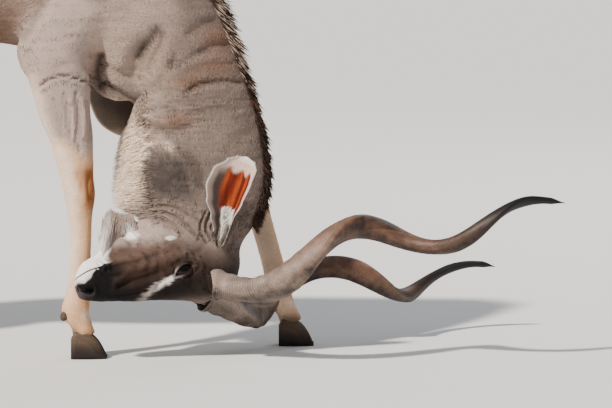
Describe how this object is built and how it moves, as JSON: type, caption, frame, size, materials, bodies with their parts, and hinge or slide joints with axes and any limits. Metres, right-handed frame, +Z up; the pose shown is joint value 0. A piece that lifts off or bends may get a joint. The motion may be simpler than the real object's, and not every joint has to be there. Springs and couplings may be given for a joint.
{
  "type": "greater kudu",
  "caption": "Still life-size greater kudu bull with spiral horns, standing with its head lowered and tucked in.",
  "frame": {"origin": "middle of the whole model's box, at floor level under the feet", "axes": "+X from the rump toward the horn tips, the way the trunk faces; +Y toward the animal's left; +Z up"},
  "size_m": [2.6898, 0.7576, 1.4789],
  "materials": {
    "coat_grey": "short grey-brown coat with a longer crest, throat fringe and beard",
    "coat_tan": "short tan coat of the lower legs",
    "ear": "thin haired skin, orange-pink inside the cup",
    "horn": "ridged grey-brown keratin, smoother and darker to the tip",
    "hoof": "dark, slightly worn hoof horn",
    "eye": "wet, near-black eyeball with a wide pupil"
  },
  "bodies": {
    "root": {"torso": "coat_grey", "neck_base": "coat_grey", "neck": "coat_grey", "head": "coat_grey", "tail": "coat_grey", "ear_right": "ear", "ear_left": "ear", "eye_right": "eye", "eye_left": "eye", "horn_right": "horn", "horn_left": "horn", "leg_front_right_upper": "coat_grey", "leg_front_right_lower": "coat_tan", "leg_front_left_upper": "coat_grey", "leg_front_left_lower": "coat_tan", "leg_hind_right_upper": "coat_grey", "leg_hind_right_lower": "coat_tan", "leg_hind_left_upper": "coat_grey", "leg_hind_left_lower": "coat_tan", "hoof_front_right_right": "hoof", "hoof_front_right_left": "hoof", "hoof_front_left_right": "hoof", "hoof_front_left_left": "hoof", "hoof_hind_right_right": "hoof", "hoof_hind_right_left": "hoof", "hoof_hind_left_right": "hoof", "hoof_hind_left_left": "hoof"}
  },
  "joints": []
}
